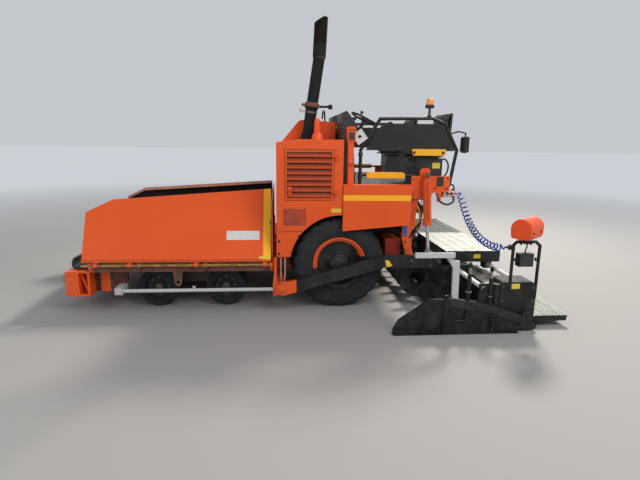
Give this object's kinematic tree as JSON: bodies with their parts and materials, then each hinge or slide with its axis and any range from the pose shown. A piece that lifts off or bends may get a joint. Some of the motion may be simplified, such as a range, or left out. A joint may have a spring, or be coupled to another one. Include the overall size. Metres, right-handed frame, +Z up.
{
  "type": "wheeled asphalt paver",
  "caption": "Wheeled asphalt paver with a front hopper, louvred engine hood, open operator platform and a floating screed with sliding extensions.",
  "frame": {"origin": "on the ground, under the centre of the bounding box", "axes": "+X forward to the hopper and push rollers, +Y to the machine's left, +Z up"},
  "size_m": [5.75, 4.1742, 3.4187],
  "materials": {
    "orange_paint": "satin, worn",
    "black_paint": "satin, dirty",
    "dark_steel": "rough",
    "bare_steel": "brushed",
    "chrome_rod": "polished",
    "grey_paint": "matt",
    "rubber_tyre": "matt",
    "black_rubber": "matt",
    "seat_vinyl": "matt",
    "black_plastic": "matt",
    "amber_plastic": "gloss",
    "tread_plate": "patterned",
    "yellow_paint": "satin",
    "cord_jacket": "matt"
  },
  "bodies": {
    "chassis": {"frame": "orange_paint", "push_beam": "orange_paint", "front_axles": "dark_steel", "rear_hubs": "black_paint", "hopper": "orange_paint", "conveyor": "dark_steel", "apron": "black_rubber", "hood": "orange_paint", "engine": "dark_steel", "air_box": "orange_paint", "exhaust": "black_paint", "side_panels": "orange_paint", "platform": "orange_paint", "guards": "black_paint", "edge_bars": "yellow_paint", "seats": "black_plastic", "seat_cushions": "seat_vinyl", "console": "black_plastic", "beacon": "amber_plastic", "rear_frame": "orange_paint", "side_bars": "grey_paint", "curly_cord": "cord_jacket"},
    "push_roller_pair": {"push_rollers": "dark_steel"},
    "floating_screed": {"tow_arms": "black_paint", "screed": "black_paint", "deck": "tread_plate"},
    "auger_shafts": {"auger": "dark_steel", "auger_flights": "bare_steel"},
    "tie_rod_first": {"tie_rod_first": "dark_steel"},
    "tie_rod_second": {"tie_rod_second": "dark_steel"},
    "rear_wheel_left": {"rear_rim_left": "orange_paint", "rear_tyre_left": "rubber_tyre"},
    "rear_wheel_right": {"rear_rim_right": "orange_paint", "rear_tyre_right": "rubber_tyre"},
    "knuckle_first_left": {"knuckle_first_left": "dark_steel"},
    "steer_wheel_first_left": {"front_wheel_first_left": "rubber_tyre"},
    "knuckle_first_right": {"knuckle_first_right": "dark_steel"},
    "steer_wheel_first_right": {"front_wheel_first_right": "rubber_tyre"},
    "knuckle_second_left": {"knuckle_second_left": "dark_steel"},
    "steer_wheel_second_left": {"front_wheel_second_left": "rubber_tyre"},
    "knuckle_second_right": {"knuckle_second_right": "dark_steel"},
    "steer_wheel_second_right": {"front_wheel_second_right": "rubber_tyre"},
    "hopper_wing_left": {"wing_left": "orange_paint"},
    "hopper_wing_right": {"wing_right": "orange_paint"},
    "engine_door_left": {"hood_door_left": "orange_paint"},
    "engine_door_right": {"hood_door_right": "orange_paint"},
    "lift_barrel_left": {"lift_barrel_left": "orange_paint"},
    "lift_rod_left": {"lift_rod_left": "chrome_rod"},
    "lift_barrel_right": {"lift_barrel_right": "orange_paint"},
    "lift_rod_right": {"lift_rod_right": "chrome_rod"},
    "screed_extension_left": {"extension_left": "black_paint", "end_gate_left": "black_paint", "sensor_brackets_left": "grey_paint", "control_box_left": "orange_paint"},
    "folding_walkway_left": {"walkway_left": "tread_plate"},
    "screed_extension_right": {"extension_right": "black_paint", "end_gate_right": "black_paint", "sensor_brackets_right": "grey_paint", "control_box_right": "orange_paint"},
    "folding_walkway_right": {"walkway_right": "tread_plate"}
  },
  "joints": [
    {"name": "push_roller_spin", "type": "hinge", "parent": "chassis", "child": "push_roller_pair", "pos_m": [2.79, 0, 0.345], "axis": [0, 1, 0], "continuous": true},
    {"name": "rear_wheel_spin_left", "type": "hinge", "parent": "chassis", "child": "rear_wheel_left", "pos_m": [-0.4, 0.965, 0.55], "axis": [0, 1, 0], "continuous": true},
    {"name": "rear_wheel_spin_right", "type": "hinge", "parent": "chassis", "child": "rear_wheel_right", "pos_m": [-0.4, -0.965, 0.55], "axis": [0, 1, 0], "continuous": true},
    {"name": "steering_first_left", "type": "hinge", "parent": "chassis", "child": "knuckle_first_left", "pos_m": [1.765, 0.68, 0.24], "axis": [0, 0, 1], "range_deg": [-25, 25]},
    {"name": "front_wheel_spin_first_left", "type": "hinge", "parent": "knuckle_first_left", "child": "steer_wheel_first_left", "pos_m": [1.765, 0.87, 0.24], "axis": [0, 1, 0], "continuous": true},
    {"name": "steering_first_right", "type": "hinge", "parent": "chassis", "child": "knuckle_first_right", "pos_m": [1.765, -0.68, 0.24], "axis": [0, 0, 1], "range_deg": [-25, 25]},
    {"name": "front_wheel_spin_first_right", "type": "hinge", "parent": "knuckle_first_right", "child": "steer_wheel_first_right", "pos_m": [1.765, -0.87, 0.24], "axis": [0, 1, 0], "continuous": true},
    {"name": "steering_second_left", "type": "hinge", "parent": "chassis", "child": "knuckle_second_left", "pos_m": [0.965, 0.68, 0.24], "axis": [0, 0, 1], "range_deg": [-19, 19]},
    {"name": "front_wheel_spin_second_left", "type": "hinge", "parent": "knuckle_second_left", "child": "steer_wheel_second_left", "pos_m": [0.965, 0.87, 0.24], "axis": [0, 1, 0], "continuous": true},
    {"name": "steering_second_right", "type": "hinge", "parent": "chassis", "child": "knuckle_second_right", "pos_m": [0.965, -0.68, 0.24], "axis": [0, 0, 1], "range_deg": [-19, 19]},
    {"name": "front_wheel_spin_second_right", "type": "hinge", "parent": "knuckle_second_right", "child": "steer_wheel_second_right", "pos_m": [0.965, -0.87, 0.24], "axis": [0, 1, 0], "continuous": true},
    {"name": "tie_rod_turn_first", "type": "hinge", "parent": "knuckle_first_left", "child": "tie_rod_first", "pos_m": [1.635, 0.68, 0.138], "axis": [0, 0, 1], "range_deg": [-25, 25]},
    {"name": "tie_rod_turn_second", "type": "hinge", "parent": "knuckle_second_left", "child": "tie_rod_second", "pos_m": [0.835, 0.68, 0.138], "axis": [0, 0, 1], "range_deg": [-19, 19]},
    {"name": "hopper_wing_fold_left", "type": "hinge", "parent": "chassis", "child": "hopper_wing_left", "pos_m": [1.5, 1.205, 0.56], "axis": [-1, 0, 0], "range_deg": [0, 60]},
    {"name": "hopper_wing_fold_right", "type": "hinge", "parent": "chassis", "child": "hopper_wing_right", "pos_m": [1.5, -1.205, 0.56], "axis": [1, 0, 0], "range_deg": [0, 60]},
    {"name": "engine_door_swing_left", "type": "hinge", "parent": "chassis", "child": "engine_door_left", "pos_m": [-0.333, 1.205, 1.6], "axis": [0, 0, 1], "range_deg": [0, 90]},
    {"name": "engine_door_swing_right", "type": "hinge", "parent": "chassis", "child": "engine_door_right", "pos_m": [-0.333, -1.205, 1.6], "axis": [0, 0, -1], "range_deg": [0, 90]},
    {"name": "screed_lift", "type": "hinge", "parent": "chassis", "child": "floating_screed", "pos_m": [0.29, 0, 0.275], "axis": [0, 1, 0], "range_deg": [0, 9.5], "deforming": ["curly_cord"]},
    {"name": "lift_barrel_swing_left", "type": "hinge", "parent": "chassis", "child": "lift_barrel_left", "pos_m": [-1.4, 1.165, 1.62], "axis": [0, 1, 0], "range_deg": [-8, 1]},
    {"name": "lift_rod_slide_left", "type": "slide", "parent": "lift_barrel_left", "child": "lift_rod_left", "axis": [0.0729, 0, 0.9973], "range_m": [0, 0.29]},
    {"name": "lift_barrel_swing_right", "type": "hinge", "parent": "chassis", "child": "lift_barrel_right", "pos_m": [-1.4, -1.165, 1.62], "axis": [0, 1, 0], "range_deg": [-8, 1]},
    {"name": "lift_rod_slide_right", "type": "slide", "parent": "lift_barrel_right", "child": "lift_rod_right", "axis": [0.0729, 0, 0.9973], "range_m": [0, 0.29]},
    {"name": "auger_spin", "type": "hinge", "parent": "chassis", "child": "auger_shafts", "pos_m": [-1.35, 0, 0.29], "axis": [0, 1, 0], "continuous": true},
    {"name": "extension_slide_left", "type": "slide", "parent": "floating_screed", "child": "screed_extension_left", "axis": [0, 1, 0], "range_m": [-0.64, 0.3], "deforming": ["curly_cord"]},
    {"name": "walkway_fold_left", "type": "hinge", "parent": "screed_extension_left", "child": "folding_walkway_left", "pos_m": [-2.455, 1.3, 0.112], "axis": [0, 1, 0], "range_deg": [0, 90]},
    {"name": "extension_slide_right", "type": "slide", "parent": "floating_screed", "child": "screed_extension_right", "axis": [0, -1, 0], "range_m": [-0.64, 0.3]},
    {"name": "walkway_fold_right", "type": "hinge", "parent": "screed_extension_right", "child": "folding_walkway_right", "pos_m": [-2.455, -1.3, 0.112], "axis": [0, 1, 0], "range_deg": [0, 90]}
  ],
  "couplings": [
    {"joint": "steering_first_right", "follows": "steering_first_left", "ratio": 1},
    {"joint": "steering_second_left", "follows": "steering_first_left", "ratio": 0.75},
    {"joint": "steering_second_right", "follows": "steering_first_left", "ratio": 0.75},
    {"joint": "tie_rod_turn_first", "follows": "steering_first_left", "ratio": -1},
    {"joint": "tie_rod_turn_second", "follows": "steering_first_left", "ratio": -0.75},
    {"joint": "lift_barrel_swing_left", "follows": "screed_lift", "ratio": -0.66997},
    {"joint": "lift_rod_slide_left", "follows": "screed_lift", "m_per_rad": 1.7278},
    {"joint": "lift_barrel_swing_right", "follows": "screed_lift", "ratio": -0.66997},
    {"joint": "lift_rod_slide_right", "follows": "screed_lift", "m_per_rad": 1.7278}
  ]
}
